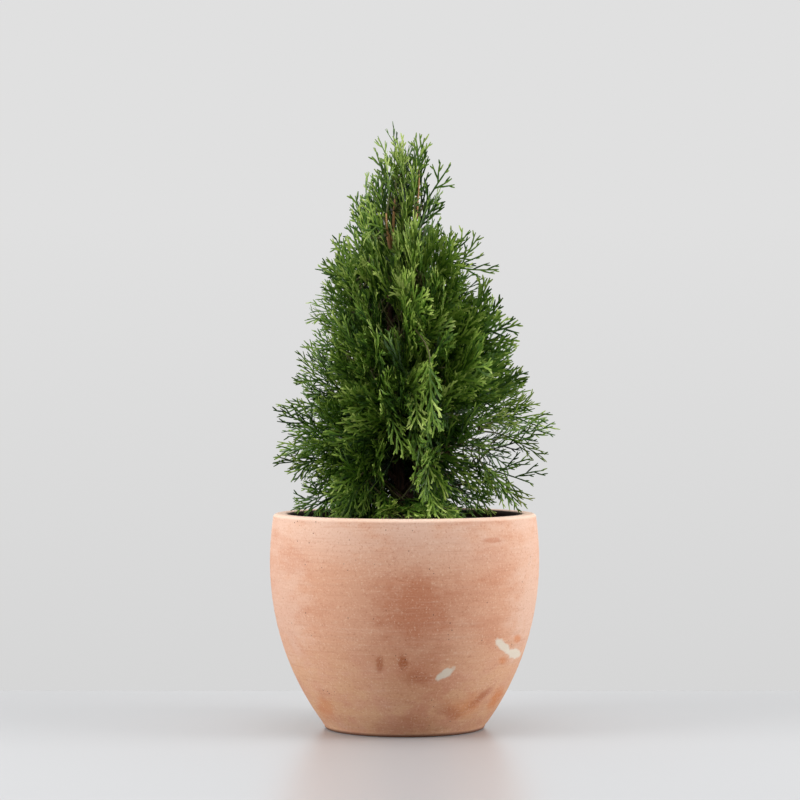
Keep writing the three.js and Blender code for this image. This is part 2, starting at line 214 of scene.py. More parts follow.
studio = dict(surround="#e0e0e0", low=0.9, lowEdge=(-0.12, 0.06), behind=1.2, room=0.36, roomEdge=0.35,
              table="#a9aaac", tableRoughness=0.3, tableSize=(3000, 2838, 1000), tableMiddle=(0, -1181, 0))
boxes = [  # name, place, aim, width, height, watts
    ("leftBox", (-1200, -490, 780), (0, 0, 220), 700, 1200, 19),
    ("rightBox", (1220, -320, 720), (0, 0, 200), 700, 1200, 17.5),
    ("topBox", (0, -250, 1500), (0, 0, 200), 900, 900, 9),
]
world = bpy.data.worlds.new("surround")
world.use_nodes = True
bpy.context.scene.world = world
sky = world.node_tree
sky.nodes.clear()
direction = addNode(sky, "SeparateXYZ", {0: addNode(sky, "TexCoord").outputs["Generated"]})
share = addNode(sky, "MapRange", {"Value": direction.outputs["Y"], "From Min": -studio["roomEdge"],
                "From Max": studio["roomEdge"], "To Min": studio["room"], "To Max": studio["behind"]},
                interpolation_type="SMOOTHSTEP")
fade = addNode(sky, "MapRange", {"Value": direction.outputs["Z"], "From Min": studio["lowEdge"][0],
               "From Max": studio["lowEdge"][1], "To Min": studio["low"]})
lit = addNode(sky, "Background", {"Color": linear(studio["surround"]), "Strength": share.outputs[0]})
seen = addNode(sky, "Background", {"Color": linear(studio["surround"]), "Strength": fade.outputs[0]})
path = addNode(sky, "LightPath")
mixed = addNode(sky, "MixShader", {0: path.outputs["Is Camera Ray"], 1: lit.outputs[0], 2: seen.outputs[0]})
addNode(sky, "OutputWorld", {"Surface": mixed.outputs[0]})
for name, place, aim, width, height, watts in boxes:
    light = bpy.data.lights.new(name, "AREA")
    light.shape = "RECTANGLE"
    light.size = width * mm
    light.size_y = height * mm
    light.energy = watts
    placeInStudio(name, light, place, aim)
made = bmesh.new()
bmesh.ops.create_grid(made, x_segments=1, y_segments=1, size=0.5)  # a metre square, then the table's size
bmesh.ops.scale(made, vec=Vector(studio["tableSize"]) * mm, verts=made.verts)
bmesh.ops.translate(made, vec=Vector(studio["tableMiddle"]) * mm, verts=made.verts)
table = bpy.data.objects.new("table", meshFromBmesh("table", made))
bpy.context.scene.collection.objects.link(table)
# Satin laminate: pale, even, with a blurred reflection of what stands on it
laminate, _, _ = newMaterial("satinLaminate", Base_Color=linear(studio["table"]),
                             Roughness=studio["tableRoughness"])
table.data.materials.append(laminate)
print("camera, lights and table")


# Pot: hand-thrown terracotta

pot = dict(height=160, footRadius=60, footBevel=2.5, bevelSteps=5, bellyRadius=100.4, bellyHeight=124,
           rimRadius=97.6, wall=11.5, floor=12, lip=3.2, lipSteps=8, outerSteps=110, innerSteps=24, sides=160,
           wheelMark=0.16, wheelGap=3.4, fineShare=0.5, fineGap=1.3, fineRow=7, waver=0.5, waverSize=90,
           waverSquash=0.6)


def bellyArc(radius, height):  # upright at the belly, through a radius at a height
    inward = pot["bellyRadius"] - radius
    along = height - pot["bellyHeight"]
    return (inward * inward + along * along) / (2 * inward)


lowerArc = bellyArc(pot["footRadius"], pot["footBevel"])
upperArc = bellyArc(pot["rimRadius"], pot["height"])


def potRadiusAt(height):
    along = height - pot["bellyHeight"]
    arc = lowerArc if along < 0 else upperArc
    return pot["bellyRadius"] - arc + math.sqrt(arc * arc - along * along)


def cavityRadiusAt(height):
    return potRadiusAt(height) - pot["wall"]


def quarterRound(centre, radius, start, steps):
    angles = [start + math.pi / 2 * share for share in sharesOf(steps)]
    return [(centre[0] + radius * math.cos(a), centre[1] + radius * math.sin(a)) for a in angles]


def potPiece():
    bevel, lip = pot["footBevel"], pot["lip"]
    lipFoot = pot["height"] - lip
    outer = [lerp(bevel, lipFoot, share) for share in sharesOf(pot["outerSteps"])[1:-1]]
    inner = [lerp(lipFoot, pot["floor"], share) for share in sharesOf(pot["innerSteps"])[1:]]
    profile = [(0, 0), (pot["footRadius"] - bevel, 0)]
    profile += quarterRound((pot["footRadius"] - bevel, bevel), bevel, -math.pi / 2, pot["bevelSteps"])[1:]
    profile += [(potRadiusAt(z), z) for z in outer]
    profile += quarterRound((potRadiusAt(lipFoot) - lip, lipFoot), lip, 0, pot["lipSteps"])
    profile += quarterRound((cavityRadiusAt(lipFoot) + lip, lipFoot), lip, math.pi / 2, pot["lipSteps"])
    profile += [(cavityRadiusAt(z), z) for z in inner] + [(0, pot["floor"])]
    made = spunMesh(profile, pot["sides"])
    for corner in made.verts:  # wheel marks and the slight waver of a thrown wall
        x, y, z = corner.co / mm
        radius = math.hypot(x, y)
        if radius < pot["footRadius"] or z < 2 * bevel:
            continue
        marks = noise.noise(Vector((0, 0, z / pot["wheelGap"])))
        marks += pot["fineShare"] * noise.noise(Vector((0, pot["fineRow"], z / pot["fineGap"])))
        waver = noise.noise(Vector((x, y, z * pot["waverSquash"])) / pot["waverSize"])
        shift = pot["wheelMark"] * marks + pot["waver"] * waver
        corner.co.x += shift * x / radius * mm
        corner.co.y += shift * y / radius * mm
    return finishPiece("pot", meshFromBmesh("pot", made), [terracotta()], ["pot"])


# Unglazed terracotta, thrown and fired: dry, matt and peach, with faint wheel lines, grog specks, pits,
# rusty stains and scrapes of lime, and darker on the inner wall under the rim. Painted light and shade
# as well: pale sides, partly bloom and partly painted sheen; a redder, darker front, partly the clay's own
# red and partly painted shade between the side lamps; a painted highlight along the rim top; painted
# shade under the foot
clay = dict(peach="#cf9b7e", red="#b97453", bloomAndSheen="#dabaa7", rust="#a35b36", orange="#c97a45",
            ochre="#d4a880", lip="#e6d0be", pitAndFootShade="#5c3626", grit="#e3c9b1", lime="#d8d0c0", innerWallDark="#35241a",
            roughness=0.9, ior=1.45, lineRelief=1.2, bump=(0.22, 0.4))
clayNoise = dict(  # size in mm, stretch along X, Y and Z, detail, roughness, offset
    flush=(58, (1, 1, 1.7), 4.0, 0.6, (0, 0, 0)),
    haze=(40, (1, 1, 2), 3.0, 0.55, (0, 0, 0)),
    lines=(30, (1, 1, 24), 3.0, 0.55, (0.3, 0.1, 0)),
    patches=(26, (1, 1, 1), 2.0, 0.55, (0, 0, 0)),
    mottle=(22, (1, 1, 1.4), 5.0, 0.68, (0.05, 0.2, 0.1)),
    soft=(16, (1, 1, 1.6), 5.0, 0.65, (0, 0, 0)),
    ragged=(5, (1, 1, 1), 4.0, 0.55, (0, 0, 0)),
    fleck=(1.5, (1, 1, 1), 2.0, 0.7, (0, 0, 0)),
)
claySpecks = dict(pits=5, grits=4)  # mm from one to the next
cavity = cavityRadiusAt(pot["height"])
washes = [  # ink, strength, then each guide with the values where it starts and is full; lengths in mm
    ("red", 0.4, ("flush", 0.42, 0.66)),
    ("bloomAndSheen", 0.7, ("height", 112, 160), ("haze", 0.25, 0.55)),
    ("ochre", 0.6, ("height", 90, 20), ("mottle", 0.36, 0.62)),
]
stains = [  # ink, strength, place, half sizes, turn about Y
    # pale sides: partly bloom, partly painted sheen where the side lamps graze the wall
    ("bloomAndSheen", 0.5, (-92, -45, 95), (42, 60, 70), 0.0),
    ("bloomAndSheen", 0.6, (95, -35, 95), (36, 60, 70), 0.0),
    # redder, darker front: partly the clay's own red, partly painted shade between the side lamps
    ("red", 0.8, (8, -96, 96), (46, 50, 40), 0.0),
    ("red", 0.35, (10, -88, 45), (44, 50, 40), 0.0),
    ("rust", 0.75, (-18, -84, 56), (4.5, 30, 9), 0.1),
    ("rust", 0.8, (-1, -86, 57), (5, 30, 8), -0.1),
    ("rust", 0.5, (8, -84, 46), (14, 30, 9), 0.0),
    ("rust", 0.4, (2, -62, 10), (38, 40, 13), 0.0),
    ("orange", 0.5, (46, -60, 22), (24, 30, 13), -0.3),
    ("orange", 0.8, (67, -40, 24), (8, 30, 15), 0.4),
    ("rust", 0.6, (56, -52, 29), (16, 30, 4.5), -0.65),
    ("rust", 0.5, (31, -62, 19), (15, 30, 8), 0.2),
    ("orange", 0.7, (82, -40, 70), (4.5, 30, 4.5), 0.0),
    ("orange", 0.6, (71, -50, 55), (4.5, 30, 4), 0.0),
    ("orange", 0.5, (-58, -40, 18), (12, 30, 13), -0.4),
    ("red", 0.6, (62, -75, 144), (11, 30, 2.5), 0.0),
]
details = [  # as the washes, over the stains
    ("bloomAndSheen", 0.15, ("lines", 0.54, 0.70)),
    ("rust", 0.15, ("lines", 0.45, 0.30)),
    ("grit", 0.4, ("fleck", 0.56, 0.72)),
    ("rust", 0.4, ("fleck", 0.44, 0.28)),
    ("pitAndFootShade", 0.9, ("pits", 0.12, 0.06), ("patches", 0.53, 0.6)),
    ("grit", 0.35, ("grits", 0.13, 0.07)),
    # painted highlight: a pale line along the top of the rim
    ("lip", 0.45, ("height", 157.2, 159)),
    # painted shade: darker at the foot, where the wall turns under
    ("pitAndFootShade", 0.8, ("height", 3.2, 1.2)),
    # darker on the inner wall under the rim, above 140 mm high
    ("innerWallDark", 1.0, ("spread", cavity + 2.2, cavity + 1.2), ("height", 135, 140)),
]
scrapes = [  # as the stains: half sizes along a scrape, into the wall and across it
    ("lime", 0.85, (29, -80, 48.5), (9.5, 30, 3.9), -0.55),
    ("lime", 0.85, (71, -53, 66.5), (9.5, 30, 4.2), 0.85),
    ("lime", 0.85, (80, -40, 59), (8.5, 40, 4.6), 0.5),
]
spotEdges = dict(stain=("soft", 1.3, 1.62, 0.85), scrape=("ragged", 0.9, 1.42, 1.05))  # noise, weight, ends


def terracotta():
    material, tree, shader = newMaterial("unglazedTerracotta", Roughness=clay["roughness"], IOR=clay["ior"])
    place = addNode(tree, "TexCoord").outputs["Object"]
    level = addNode(tree, "VectorMath", {0: place, 1: (1, 1, 0)}, operation="MULTIPLY").outputs[0]
    lengths = dict(height=addNode(tree, "SeparateXYZ", {0: place}).outputs["Z"],
                   spread=addNode(tree, "VectorMath", {0: level}, operation="LENGTH").outputs["Value"])
    guides = dict(lengths)
    for name, (size, stretch, detail, roughness, offset) in clayNoise.items():
        scaled = addNode(tree, "Mapping", {"Vector": place, "Scale": stretch, "Location": offset})
        made = addNode(tree, "TexNoise", {"Vector": scaled.outputs[0], "Scale": perSize(size),
                                          "Detail": detail, "Roughness": roughness})
        guides[name] = made.outputs["Fac"]
    for name, size in claySpecks.items():
        made = addNode(tree, "TexVoronoi", {"Vector": place, "Scale": perSize(size)})
        guides[name] = made.outputs["Distance"]

    def between(value, low, high, top):
        limits = {"Value": value, "From Min": low, "From Max": high, "To Max": top}
        return addNode(tree, "MapRange", limits, interpolation_type="SMOOTHSTEP").outputs[0]

    def both(a, b, operation="MULTIPLY"):
        return addNode(tree, "Math", {0: a, 1: b}, operation=operation).outputs[0]

    def guided(strength, guide, *others):
        name, low, high = guide
        size = mm if name in lengths else 1
        mask = between(guides[name], low * size, high * size, strength)
        return both(mask, guided(1.0, *others)) if others else mask

    def spot(kind, strength, at, halves, turn):  # full in its middle, with a ragged edge
        local = addNode(tree, "Mapping", {"Vector": place, "Location": Vector(at) * mm,
                        "Rotation": (0, turn, 0), "Scale": Vector(halves) * mm}, vector_type="TEXTURE")
        away = addNode(tree, "VectorMath", {0: local.outputs[0]}, operation="LENGTH").outputs["Value"]
        name, weight, outer, inner = spotEdges[kind]
        return between(both(away, both(guides[name], weight), "ADD"), outer, inner, strength)

    layers = [(guided(strength, *rest), ink) for ink, strength, *rest in washes]
    layers += [(spot("stain", strength, *shape), ink) for ink, strength, *shape in stains]
    layers += [(guided(strength, *rest), ink) for ink, strength, *rest in details]
    layers += [(spot("scrape", strength, *shape), ink) for ink, strength, *shape in scrapes]
    colour = linear(clay["peach"])
    for mask, ink in layers:
        mixed = addNode(tree, "Mix", {0: mask, 6: colour, 7: linear(clay[ink])}, data_type="RGBA")
        colour = mixed.outputs[2]
    grain = both(guides["fleck"], both(guides["lines"], clay["lineRelief"]), "ADD")
    finishSurface(tree, shader, colour, grain, *clay["bump"])
    return material


potPiece()

# Soil: peat and fine bark that fills the pot, with crumbs on top

soil = dict(level=151, mound=1.8, flatRadius=14, clear=0.3, gap=0.6, depth=30, skin=1, rings=46, sides=110,
            rough=2.2, roughSize=9, roughPlane=3, roughPower=0.9, roughStep=2.0, roughLayers=4, edgeFade=6,
            crumbs=620, crumbSize=(0.9, 2.6), crumbEdge=4, crumbSqueeze=(0.6, 1.3), crumbJitter=0.18,
            crumbRaised=0.25, chipEvery=9, seed=77, dark="#1d1511", brown="#3f2c20", chip="#6b4a30",
            roughness=0.95, chipRoughness=0.9, ior=1.4, fibre=3, fibreDetail=6.0, bump=(0.6, 0.6))


def soilHeightAt(radius):
    edge = cavityRadiusAt(soil["level"])
    share = clamp((edge - radius) / (edge - soil["flatRadius"]))
    return soil["level"] + soil["mound"] * share


def soilRoughAt(x, y, edge):  # lumps that fade out at the edge
    spot = Vector((x, y, soil["roughPlane"])) / soil["roughSize"]
    lumps = noise.fractal(spot, soil["roughPower"], soil["roughStep"], soil["roughLayers"])
    return soil["rough"] * lumps * clamp((edge - math.hypot(x, y)) / soil["edgeFade"])


def pottingSoil():
    # Damp peat: nearly black with brown fibres, no gloss
    material, tree, shader = newMaterial("pottingSoil", Roughness=soil["roughness"], IOR=soil["ior"])
    place = addNode(tree, "TexCoord").outputs["Object"]
    fibre = addNode(tree, "TexNoise", {"Vector": place, "Scale": perSize(soil["fibre"]),
                                       "Detail": soil["fibreDetail"]}).outputs["Fac"]
    colour = addNode(tree, "Mix", {0: fibre, 6: linear(soil["dark"]), 7: linear(soil["brown"])},
                     data_type="RGBA")
    finishSurface(tree, shader, colour.outputs[2], fibre, *soil["bump"])
    return material


def soilPiece(material):
    edge = cavityRadiusAt(soil["level"]) - soil["gap"]
    radii = [edge * i / soil["rings"] for i in range(soil["rings"] + 1)]
    foot = soil["level"] - soil["depth"]
    profile = [(r, soilHeightAt(r)) for r in radii] + [(cavityRadiusAt(foot) - soil["gap"], foot), (0, foot)]
    made = spunMesh(profile, soil["sides"])
    for corner in made.verts:
        x, y, z = corner.co / mm
        if z > soil["level"] - soil["skin"]:
            corner.co.z += soilRoughAt(x, y, edge) * mm
    return finishPiece("soil", meshFromBmesh("soil", made), [material], ["soil"])


def crumbPiece(material):
    # Bark chips: dry, split, paler than the peat they lie on
    chip, _, _ = newMaterial("barkChip", Base_Color=linear(soil["chip"]), Roughness=soil["chipRoughness"])
    random = seededRandom(soil["seed"])
    edge = cavityRadiusAt(soil["level"]) - soil["crumbEdge"]
    made = bmesh.new()
    for i in range(soil["crumbs"]):
        radius = edge * math.sqrt(random())
        turn = fullTurn * random()
        x, y = radius * math.cos(turn), radius * math.sin(turn)
        size = lerp(*soil["crumbSize"], random() ** 2)
        crumb = bmesh.ops.create_icosphere(made, subdivisions=1, radius=size * mm)["verts"]
        squeeze = [lerp(*soil["crumbSqueeze"], random()) for _ in range(3)]
        bmesh.ops.scale(made, vec=squeeze, verts=crumb)
        for corner in crumb:
            corner.co *= 1 + jitter(random, soil["crumbJitter"])
        height = soilHeightAt(radius) + soilRoughAt(x, y, edge) + size * soil["crumbRaised"]
        bmesh.ops.translate(made, vec=Vector((x, y, height)) * mm, verts=crumb)
        if i % soil["chipEvery"] == 0:
            for face in {f for corner in crumb for f in corner.link_faces}:
                face.material_index = 1
    return finishPiece("soil_crumbs", meshFromBmesh("soil_crumbs", made), [material, chip])


soilMaterial = pottingSoil()
soilPiece(soilMaterial)
crumbPiece(soilMaterial)

# The plant's rule, as in the solids. Heights are measured from the trunk's foot.

ground = soil["level"] + soil["mound"] + soil["clear"]
up = np.array([0.0, 0.0, 1.0])
goldenAngle = math.pi * (3 - math.sqrt(5))

trunk = dict(height=232, radius=5.2, tipRadius=1.4, taperPower=0.8, flare=3.6, flareHeight=9, bow=(-7, 3),
             tipLean=(-8, 0), knots=(0, 0.35, 0.7, 1), lineSteps=24)
crown = dict(height=296, widestHeight=62, radius=99, tipRadius=12, taperPower=1.3, skirtTuck=0.12,
             lopsided=0.05, spur=0.11, spurHeight=66, spurSpread=20, overReach=4, lowestTip=14,
             highestTip=276, crowding=0.62, boughs=26, firstAzimuth=1, azimuthJitter=0.14, reachJitter=0.05,
             seed=4211, seedStep=97)
bough = dict(lowSlope=0.12, highSlope=1.9, lowestFork=8, forkStep=1.4, arch=13, lowElbow=(0.5, 0.8),
             highElbow=(0.66, 0.4), thickest=2.7, thinnest=1.6, tipRadius=1.5, lowShare=0.3, highShare=0.24)
leader = dict(top=(-3, 0, 294.5), radius=1.4, bareShare=0, stemEnd=0.51, leaveAngle=0.45, overReach=12,
              slimness=0.42)
secondLeader = dict(fork=150, elbow=(15, -3, 205), top=(10, -4, 292.5), radius=2, bareShare=0.45,
                    stemEnd=0.82)
mass = dict(stemRadius=1.4, stemTipRadius=0.45, stemEnd=0.56, stemGap=0.3, sprays=6, tries=90,
            lowestTwig=0.06, twigShare=0.25, sunk=3, leaveAngle=0.75, leaveJitter=0.25, rollJitter=0.3,
            lastTurn=0.5, sideTurn=0.9, apart=1.6, limbClear=1.5, lineSteps=8, measureSteps=200)
spray = dict(longest=62, shortest=26, usual=44, lengthJitter=0.15, shrinks=(1, 0.85, 0.7, 0.55),
             slimness=0.86, bow=0.1, teeth=3, stagger=0.45, firstTooth=0.07, lastTooth=0.82,
             swell=(0.37, 0.88), foremost=0.98, ribRadius=1.1, sweep=1.05, rootedShare=0.25, apart=1)


def trunkKnot(share):
    sway = math.sin(math.pi * share)
    x, y = (trunk["tipLean"][k] * share + trunk["bow"][k] * sway for k in (0, 1))
    return np.array([x, y, trunk["height"] * share])


trunkKnots = [trunkKnot(share) for share in trunk["knots"]]


def trunkPoint(share):  # a centripetal curve through the trunk's knots
    place = clamp(share) * (len(trunkKnots) - 1)
    i = min(int(place), len(trunkKnots) - 2)
    t = place - i
    b, c = trunkKnots[i], trunkKnots[i + 1]
    a = trunkKnots[i - 1] if i > 0 else 2 * b - c
    d = trunkKnots[i + 2] if i + 2 < len(trunkKnots) else 2 * c - b
    ab, bc, cd = (math.sqrt(np.linalg.norm(q - p)) for p, q in ((a, b), (b, c), (c, d)))
    leave = ((b - a) / ab - (c - a) / (ab + bc) + (c - b) / bc) * bc
    arrive = ((c - b) / bc - (d - b) / (bc + cd) + (d - c) / cd) * bc
    square, cube = 3 * (c - b) - 2 * leave - arrive, 2 * (b - c) + leave + arrive
    return b + leave * t + square * t ** 2 + cube * t ** 3


def trunkRadiusAt(share):
    flare = trunk["flare"] * math.exp(-share * trunk["height"] / trunk["flareHeight"])
    return lerp(trunk["radius"], trunk["tipRadius"], share ** trunk["taperPower"]) + flare


def crownReachAt(height, azimuth):
    above = np.clip((height - crown["widestHeight"]) / (crown["height"] - crown["widestHeight"]), 0, 1)
    below = np.clip(1 - height / crown["widestHeight"], 0, 1)
    cone = lerp(crown["radius"], crown["tipRadius"], above ** crown["taperPower"])
    rightward = np.cos(azimuth)
    lopsided = crown["lopsided"] * rightward * (1 - above)
    fromSpur = (height - crown["spurHeight"]) / crown["spurSpread"]
    spur = crown["spur"] * np.maximum(0, rightward) * np.exp(-fromSpur * fromSpur)
    return cone * (1 - crown["skirtTuck"] * below) * (1 + lopsided + spur)


def curvePoint(curve, share):
    a, b, c = curve
    return a * (1 - share) ** 2 + b * 2 * share * (1 - share) + c * share ** 2


def curveTangent(curve, share):
    a, b, c = curve
    return unit((b - a) * (1 - share) + (c - b) * share)


def boughAxis(index):
    random = seededRandom(crown["seed"] + crown["seedStep"] * index)
    share = 1 - (1 - (index + 0.5) / crown["boughs"]) ** crown["crowding"]
    azimuth = crown["firstAzimuth"] + goldenAngle * index + jitter(random, crown["azimuthJitter"])
    tipHeight = lerp(crown["lowestTip"], crown["highestTip"], share)
    reach = crownReachAt(tipHeight, azimuth) * (1 + jitter(random, crown["reachJitter"]))
    slope = lerp(bough["lowSlope"], bough["highSlope"], share)
    lowestFork = bough["lowestFork"] + bough["forkStep"] * index
    forkHeight = max(lowestFork, tipHeight - reach * slope)
    outward = np.array([math.cos(azimuth), math.sin(azimuth), 0.0])
    fork = trunkPoint(forkHeight / trunk["height"])
    elbowOut = reach * lerp(bough["lowElbow"][0], bough["highElbow"][0], share)
    elbowUp = (tipHeight - fork[2]) * lerp(bough["lowElbow"][1], bough["highElbow"][1], share)
    elbow = fork + outward * elbowOut + up * (elbowUp + bough["arch"] * (1 - share) ** 2)
    return dict(name=f"{index + 1:02d}", overReach=crown["overReach"], slimness=spray["slimness"],
                curve=(fork, elbow, outward * reach + up * tipHeight), side=np.cross(up, outward),
                radius=lerp(bough["thickest"], bough["thinnest"], share),
                bareShare=lerp(bough["lowShare"], bough["highShare"], share), stemEnd=mass["stemEnd"],
                leaveAngle=mass["leaveAngle"], random=random)


def leaderAxis(name, form, curve, seedShift):  # an upright shoot at the top of the crown
    return dict(name=name, overReach=leader["overReach"], slimness=leader["slimness"], curve=curve,
                side=np.array([0.0, 1.0, 0.0]), radius=form["radius"], bareShare=form["bareShare"],
                stemEnd=form["stemEnd"], leaveAngle=leader["leaveAngle"],
                random=seededRandom(crown["seed"] + seedShift))


def crownAxes():
    foot, top = trunkPoint(1), np.array(leader["top"])
    fork = trunkPoint(secondLeader["fork"] / trunk["height"])
    secondCurve = (fork, np.array(secondLeader["elbow"], float), np.array(secondLeader["top"]))
    boughs = [boughAxis(i) for i in range(crown["boughs"])]
    return boughs + [leaderAxis("second_leader", secondLeader, secondCurve, -2),
                     leaderAxis("leader", leader, (foot, (foot + top) / 2, top), -1)]


axes = crownAxes()


def axisPoints(axis, steps):
    return [curvePoint(axis["curve"], share) for share in sharesOf(steps)]


def lineOf(points):  # starts and runs of a line's straight stretches
    points = np.array(points)
    return points[:-1], np.diff(points, axis=0)


def distances(line, points):  # from each point to each straight stretch
    starts, runs = line
    away = points[:, None] - starts
    share = np.clip((away * runs).sum(-1) / (runs * runs).sum(-1), 0, 1)
    return np.linalg.norm(away - runs * share[..., None], axis=-1)


trunkLine = lineOf([trunkPoint(share) for share in sharesOf(trunk["lineSteps"])])
axisLines = [lineOf(axisPoints(axis, mass["lineSteps"])) for axis in axes]
allStarts = np.concatenate([line[0] for line in axisLines])
allRuns = np.concatenate([line[1] for line in axisLines])


def inCrown(points, overReach):
    reach = crownReachAt(points[:, 2], np.arctan2(points[:, 1], points[:, 0])) + overReach
    return bool(((np.hypot(points[:, 0], points[:, 1]) <= reach) & (points[:, 2] <= crown["height"])).all())


def clearOfPot(points):
    inside = np.hypot(points[:, 0], points[:, 1]) < cavity - mass["limbClear"]
    above = points[:, 2] + ground > pot["height"] + mass["limbClear"]
    return bool((above | (inside & (points[:, 2] > mass["limbClear"]))).all())


def clearOfTrunk(points):
    radii = np.array([trunkRadiusAt(clamp(z / trunk["height"])) for z in points[:, 2]])
    return bool((distances(trunkLine, points).min(1) > radii + mass["limbClear"]).all())


# Whether points lie in a mass's own space: nearer to its own axis than to any other, inside the crown's
# outline and clear of the trunk and the pot
def inOwnSpace(points, number):
    if not (inCrown(points, axes[number]["overReach"]) and clearOfPot(points) and clearOfTrunk(points)):
        return False
    nearest = distances((allStarts, allRuns), points).reshape(len(points), len(axes), -1).min(2)
    room = nearest[:, number] + mass["apart"]
    nearest[:, number] = np.inf
    return bool((nearest.min(1) > room).all())


def sprayOutline(length, halfWidth):
    def edge(side):
        points = []
        for i in range(spray["teeth"]):
            share = (i + (0 if side > 0 else spray["stagger"])) / spray["teeth"]
            along = length * lerp(spray["firstTooth"], spray["lastTooth"], share)
            out = halfWidth * math.sin(math.pi * lerp(*spray["swell"], share))
            tip = min(along + spray["sweep"] * out, length * spray["foremost"])
            points += [(0 if i == 0 else along, side * spray["ribRadius"]), (tip, side * out)]
        return points + [(length * spray["lastTooth"], side * spray["ribRadius"])]
    return np.array(edge(-1) + [(length, 0)] + edge(1)[::-1])


def bowAt(x, length):
    return -spray["bow"] * x * x / length


def placedSpray(root, direction, normal, length, slimness):
    basis = np.array([direction, np.cross(normal, direction), normal])
    halfWidth = 0.5 * length * slimness
    flat = sprayOutline(length, halfWidth)
    placed = root + np.column_stack([flat, bowAt(flat[:, 0], length)]) @ basis
    return dict(root=root, basis=basis, length=length, halfWidth=halfWidth, placed=placed)


def crosses(one, other):  # whether an edge of one spray's outline passes through the blade of another
    local = (one["placed"] - other["root"]) @ other["basis"].T
    heights = local[:, 2] - bowAt(local[:, 0], other["length"])
    following = np.roll(local, -1, axis=0)
    drop = heights - np.roll(heights, -1)
    met = local + (following - local) * (heights / np.where(drop == 0, 1, drop))[:, None]

    def inBlade(p):
        across = np.abs(p[:, 1]) < other["halfWidth"] + spray["apart"]
        return (p[:, 0] > 0) & (p[:, 0] < other["length"] + spray["apart"]) & across
    near = (np.abs(heights) < spray["apart"]) & inBlade(local)
    through = (heights * np.roll(heights, -1) <= 0) & inBlade(met)
    return bool((near | through).any())


def fittedSpray(root, direction, normal, longest, number, others):
    for shrink in spray["shrinks"]:
        length = longest * shrink
        if length < spray["shortest"]:
            return None
        made = placedSpray(root, direction, normal, length, axes[number]["slimness"])
        if any(crosses(made, other) or crosses(other, made) for other in others):
            continue
        free = made["placed"][np.linalg.norm(made["placed"] - root, axis=1) > spray["rootedShare"] * length]
        if inOwnSpace(free, number):
            return made
    return None


def stemShare(axis, share):  # a share of a mass's stem as a share of its axis
    lengths = np.diff(axisPoints(axis, mass["measureSteps"]), axis=0)
    gap = mass["stemGap"] / np.linalg.norm(lengths, axis=1).sum()
    return lerp(axis["bareShare"] + gap, axis["stemEnd"], share)


def massSprays(number):  # the sprays of one mass, as the solids have them
    axis = axes[number]
    curve, side, random = axis["curve"], axis["side"], axis["random"]
    sprays = []
    end = stemShare(axis, 1)
    stemTip = curvePoint(curve, end)
    lastDirection = unit(curve[2] - stemTip)
    lastRoot = stemTip - curveTangent(curve, end) * mass["sunk"]
    lastLength = min(np.linalg.norm(curve[2] - lastRoot), spray["longest"])
    lastNormal = turned(squareTo(side, lastDirection), lastDirection, jitter(random, mass["lastTurn"]))
    last = fittedSpray(lastRoot, lastDirection, lastNormal, lastLength, number, sprays)
    if last:
        sprays.append({**last, "twigRoot": lastRoot})
    firstRoll = fullTurn * random()
    for i in range(mass["tries"]):
        if len(sprays) == mass["sprays"]:
            break
        share = stemShare(axis, lerp(mass["lowestTwig"], 1, random()))
        root, tangent = curvePoint(curve, share), curveTangent(curve, share)
        roll = firstRoll + goldenAngle * i + jitter(random, mass["rollJitter"])
        leaveAngle = axis["leaveAngle"] + jitter(random, mass["leaveJitter"])
        direction = turned(tangent, turned(squareTo(side, tangent), tangent, roll), leaveAngle)
        normal = turned(squareTo(side, direction), direction, jitter(random, mass["sideTurn"]))
        length = max(lastLength, spray["usual"]) * (1 + jitter(random, spray["lengthJitter"]))
        bladeRoot = root + direction * (mass["twigShare"] * length - mass["sunk"])
        blade = fittedSpray(bladeRoot, direction, normal, length, number, sprays)
        if blade:
            sprays.append({**blade, "twigRoot": root})
    return sprays


crownSprays = [massSprays(number) for number in range(len(axes))]
print("sprays of the solids:", sum(len(found) for found in crownSprays))

# Plumes: slender sprays that fill the crown's shell between those. Each is set by its tip and grown back
# to the nearest wood, and the higher it stands the more it rises.

plume = dict(tries=12000, seed=8800, length=(34, 58), slimLength=0.62, slimness=0.48, apart=6.5,
             drapedApart=5.5, sparse=1.2, depthPower=0.65, heights=(6, 40, 70, 110, 190, 250, 292),
             rises=(-0.8, -0.4, 0.1, 0.5, 1.0, 1.2, 1.5), riseJitter=0.3, headingJitter=0.5, turn=0.7,
             farthestTwig=34, forwardness=0.5, overReach=1.5, stemPoints=16, ribPoints=(0.1, 0.7, 5))
allRound = (0, fullTurn)
# The tones lighter, below zero darker, are painted light and shade for where each drift stands.
drifts = [  # what, count, heights, azimuths, depths, rise (None: by height), tones lighter, thinned by air
    ("tresses", 6, (16, 84), (-1.6, -1.36), (0, 16), -0.95, 0.3, False),
    ("apron", 14, (8, 12), (-1.75, -0.95), (0, 8), -0.25, 0.6, False),
    ("valance", 34, (7, 17), (-2.4, -0.7), (4, 30), -0.3, 0.0, False),
    ("breast", 42, (75, 205), (-2.1, -1.05), (0, 20), None, -1.9, False),
    ("fan", 17, (8, 112), (-0.8, 0.8), (0, 40), None, 1.0, False),
    ("hem", 8, (8, 26), (-0.75, 0.75), (0, 30), None, 0.9, False),
    ("spur", 10, (50, 122), (-0.35, 0.35), (0, 6), None, 0.5, False),
    ("tufts", 26, (24, 230), (2.6, 3.7), (-3, 5), None, -0.2, False),
    ("shoulder", 8, (228, 258), (2.5, 3.8), (-6, 6), None, 0.0, False),
    ("backing", 9, (205, 265), (1.2, 2.2), (2, 24), None, -0.3, False),
    ("shell", 610, (6, 291), allRound, (0, 48), None, 0.0, True),
    ("upper", 190, (120, 285), allRound, (0, 30), None, -0.2, True),
    ("core", 60, (10, 70), allRound, (50, 92), None, -0.8, True),
    ("inside", 130, (20, 250), allRound, (44, 84), None, -0.5, True),
]
